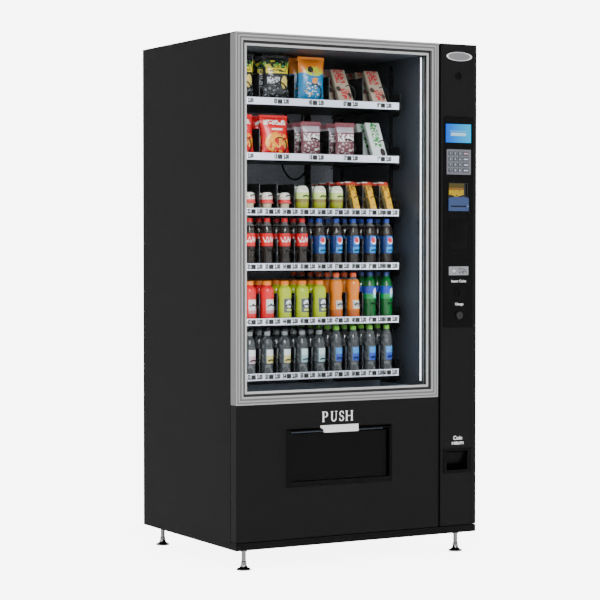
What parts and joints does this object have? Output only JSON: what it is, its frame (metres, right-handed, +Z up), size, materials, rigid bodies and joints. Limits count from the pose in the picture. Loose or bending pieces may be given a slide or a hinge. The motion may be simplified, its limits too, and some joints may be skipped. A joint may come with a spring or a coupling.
{
  "type": "snack vending machine",
  "caption": "Free-standing glass-front vending machine: hinged door with control column and delivery flap, sliding spiral trays, levelling feet.",
  "frame": {"origin": "on the floor, under the middle of the machine's box", "axes": "+Z up, -Y towards the customer, +X to the customer's right"},
  "size_m": [1.0358, 0.8098, 1.9398],
  "materials": {
    "black_steel": "satin black powder coat",
    "door_black": "satin black powder coat",
    "grey_liner": "satin grey sheet",
    "galvanised": "galvanised",
    "zinc": "zinc plated",
    "chrome_foot": "polished chrome",
    "satin_aluminium": "satin anodised",
    "clear_glass": "clear",
    "black_rubber": "matt",
    "black_plastic": "fine texture",
    "gloss_black": "gloss",
    "screen": "lit display",
    "keypad_metal": "satin",
    "key_metal": "satin",
    "white_plastic": "satin white",
    "light_diffuser": "opal diffuser",
    "fan_plastic": "moulded"
  },
  "bodies": {
    "cabinet": {"cabinet_shell": "black_steel", "base_plinth": "black_steel", "inner_liner": "grey_liner", "tray_rails": "black_steel", "delivery_bin": "black_steel", "refrigeration_unit": "galvanised", "rear_cover": "black_steel", "mains_gland": "black_rubber", "door_hinges": "zinc", "light_strips": "light_diffuser"},
    "door": {"door_core": "door_black", "window_frame": "satin_aluminium", "window_glass": "clear_glass", "door_gasket": "black_rubber", "lower_panel": "door_black", "column_panel": "door_black", "control_bezel": "black_plastic", "display": "screen", "keypad_plate": "keypad_metal", "bill_validator": "gloss_black", "coin_acceptor": "black_plastic", "coin_return_cup": "black_plastic", "delivery_bezel": "black_plastic", "push_plate": "white_plastic"},
    "fan": {"condenser_fan": "fan_plastic"},
    "delivery_flap": {"delivery_flap": "black_plastic"},
    "coin_return_flap": {"coin_return_flap": "black_plastic"},
    "change_button": {"change_button": "black_plastic"},
    "door_lock": {"door_lock": "zinc"},
    "foot_front_left": {"levelling_foot_front_left": "chrome_foot"},
    "foot_front_right": {"levelling_foot_front_right": "chrome_foot"},
    "foot_rear_left": {"levelling_foot_rear_left": "chrome_foot"},
    "foot_rear_right": {"levelling_foot_rear_right": "chrome_foot"},
    "key_1": {"key_1": "key_metal"},
    "key_2": {"key_2": "key_metal"},
    "key_3": {"key_3": "key_metal"},
    "key_up": {"key_up": "key_metal"},
    "key_4": {"key_4": "key_metal"},
    "key_5": {"key_5": "key_metal"},
    "key_6": {"key_6": "key_metal"},
    "key_down": {"key_down": "key_metal"},
    "key_7": {"key_7": "key_metal"},
    "key_8": {"key_8": "key_metal"},
    "key_9": {"key_9": "key_metal"},
    "key_cancel": {"key_cancel": "key_metal"},
    "key_star": {"key_star": "key_metal"},
    "key_0": {"key_0": "key_metal"},
    "key_hash": {"key_hash": "key_metal"},
    "key_enter": {"key_enter": "key_metal"},
    "tray_1": {"tray_1": "black_steel"},
    "tray_2": {"tray_2": "black_steel"},
    "tray_3": {"tray_3": "black_steel"},
    "tray_4": {"tray_4": "black_steel"},
    "tray_5": {"tray_5": "black_steel"},
    "tray_6": {"tray_6": "black_steel"},
    "spiral_1": {"spiral_1": "black_steel"},
    "spiral_2": {"spiral_2": "black_steel"},
    "spiral_3": {"spiral_3": "black_steel"},
    "spiral_4": {"spiral_4": "black_steel"},
    "spiral_5": {"spiral_5": "black_steel"}
  },
  "joints": [
    {"name": "door_hinge", "type": "hinge", "parent": "cabinet", "child": "door", "pos_m": [-0.509, -0.36495, 1], "axis": [0, 0, -1], "range_deg": [0, 105]},
    {"name": "fan_spin", "type": "hinge", "parent": "cabinet", "child": "fan", "pos_m": [-0.19, 0.23505, 0.25], "axis": [0, 1, 0], "continuous": true},
    {"name": "delivery_flap_hinge", "type": "hinge", "parent": "door", "child": "delivery_flap", "pos_m": [-0.08765, -0.38135, 0.487], "axis": [1, 0, 0], "range_deg": [0, 65]},
    {"name": "coin_return_flap_hinge", "type": "hinge", "parent": "door", "child": "coin_return_flap", "pos_m": [0.431, -0.37695, 0.3865], "axis": [1, 0, 0], "range_deg": [0, 30]},
    {"name": "change_button_press", "type": "slide", "parent": "door", "child": "change_button", "axis": [0, 1, 0], "range_m": [0, 0.003], "stiffness_N_per_m": 600},
    {"name": "door_lock_turn", "type": "hinge", "parent": "door", "child": "door_lock", "pos_m": [0.4363, -0.38495, 1.8185], "axis": [0, 1, 0], "range_deg": [0, 90]},
    {"name": "foot_front_left_turn", "type": "hinge", "parent": "cabinet", "child": "foot_front_left", "pos_m": [-0.46, -0.33295, 0.05], "axis": [0, 0, 1], "continuous": true},
    {"name": "foot_front_right_turn", "type": "hinge", "parent": "cabinet", "child": "foot_front_right", "pos_m": [0.46, -0.33295, 0.05], "axis": [0, 0, 1], "continuous": true},
    {"name": "foot_rear_left_turn", "type": "hinge", "parent": "cabinet", "child": "foot_rear_left", "pos_m": [-0.46, 0.35295, 0.05], "axis": [0, 0, 1], "continuous": true},
    {"name": "foot_rear_right_turn", "type": "hinge", "parent": "cabinet", "child": "foot_rear_right", "pos_m": [0.46, 0.35295, 0.05], "axis": [0, 0, 1], "continuous": true},
    {"name": "key_1_press", "type": "slide", "parent": "door", "child": "key_1", "axis": [0, 1, 0], "range_m": [0, 0.0015], "stiffness_N_per_m": 500},
    {"name": "key_2_press", "type": "slide", "parent": "door", "child": "key_2", "axis": [0, 1, 0], "range_m": [0, 0.0015], "stiffness_N_per_m": 500},
    {"name": "key_3_press", "type": "slide", "parent": "door", "child": "key_3", "axis": [0, 1, 0], "range_m": [0, 0.0015], "stiffness_N_per_m": 500},
    {"name": "key_up_press", "type": "slide", "parent": "door", "child": "key_up", "axis": [0, 1, 0], "range_m": [0, 0.0015], "stiffness_N_per_m": 500},
    {"name": "key_4_press", "type": "slide", "parent": "door", "child": "key_4", "axis": [0, 1, 0], "range_m": [0, 0.0015], "stiffness_N_per_m": 500},
    {"name": "key_5_press", "type": "slide", "parent": "door", "child": "key_5", "axis": [0, 1, 0], "range_m": [0, 0.0015], "stiffness_N_per_m": 500},
    {"name": "key_6_press", "type": "slide", "parent": "door", "child": "key_6", "axis": [0, 1, 0], "range_m": [0, 0.0015], "stiffness_N_per_m": 500},
    {"name": "key_down_press", "type": "slide", "parent": "door", "child": "key_down", "axis": [0, 1, 0], "range_m": [0, 0.0015], "stiffness_N_per_m": 500},
    {"name": "key_7_press", "type": "slide", "parent": "door", "child": "key_7", "axis": [0, 1, 0], "range_m": [0, 0.0015], "stiffness_N_per_m": 500},
    {"name": "key_8_press", "type": "slide", "parent": "door", "child": "key_8", "axis": [0, 1, 0], "range_m": [0, 0.0015], "stiffness_N_per_m": 500},
    {"name": "key_9_press", "type": "slide", "parent": "door", "child": "key_9", "axis": [0, 1, 0], "range_m": [0, 0.0015], "stiffness_N_per_m": 500},
    {"name": "key_cancel_press", "type": "slide", "parent": "door", "child": "key_cancel", "axis": [0, 1, 0], "range_m": [0, 0.0015], "stiffness_N_per_m": 500},
    {"name": "key_star_press", "type": "slide", "parent": "door", "child": "key_star", "axis": [0, 1, 0], "range_m": [0, 0.0015], "stiffness_N_per_m": 500},
    {"name": "key_0_press", "type": "slide", "parent": "door", "child": "key_0", "axis": [0, 1, 0], "range_m": [0, 0.0015], "stiffness_N_per_m": 500},
    {"name": "key_hash_press", "type": "slide", "parent": "door", "child": "key_hash", "axis": [0, 1, 0], "range_m": [0, 0.0015], "stiffness_N_per_m": 500},
    {"name": "key_enter_press", "type": "slide", "parent": "door", "child": "key_enter", "axis": [0, 1, 0], "range_m": [0, 0.0015], "stiffness_N_per_m": 500},
    {"name": "tray_1_slide", "type": "slide", "parent": "cabinet", "child": "tray_1", "axis": [0, -1, 0], "range_m": [0, 0.09]},
    {"name": "tray_2_slide", "type": "slide", "parent": "cabinet", "child": "tray_2", "axis": [0, -1, 0], "range_m": [0, 0.09]},
    {"name": "tray_3_slide", "type": "slide", "parent": "cabinet", "child": "tray_3", "axis": [0, -1, 0], "range_m": [0, 0.09]},
    {"name": "tray_4_slide", "type": "slide", "parent": "cabinet", "child": "tray_4", "axis": [0, -1, 0], "range_m": [0, 0.09]},
    {"name": "tray_5_slide", "type": "slide", "parent": "cabinet", "child": "tray_5", "axis": [0, -1, 0], "range_m": [0, 0.09]},
    {"name": "tray_6_slide", "type": "slide", "parent": "cabinet", "child": "tray_6", "axis": [0, -1, 0], "range_m": [0, 0.09]},
    {"name": "spiral_1_turn", "type": "hinge", "parent": "tray_1", "child": "spiral_1", "pos_m": [-0.3976, 0.01505, 1.7435], "axis": [0, -1, 0], "continuous": true},
    {"name": "spiral_2_turn", "type": "hinge", "parent": "tray_1", "child": "spiral_2", "pos_m": [-0.2488, 0.01505, 1.7435], "axis": [0, -1, 0], "continuous": true},
    {"name": "spiral_3_turn", "type": "hinge", "parent": "tray_1", "child": "spiral_3", "pos_m": [-0.1, 0.01505, 1.7435], "axis": [0, -1, 0], "continuous": true},
    {"name": "spiral_4_turn", "type": "hinge", "parent": "tray_1", "child": "spiral_4", "pos_m": [0.0488, 0.01505, 1.7435], "axis": [0, -1, 0], "continuous": true},
    {"name": "spiral_5_turn", "type": "hinge", "parent": "tray_1", "child": "spiral_5", "pos_m": [0.1976, 0.01505, 1.7435], "axis": [0, -1, 0], "continuous": true}
  ]
}
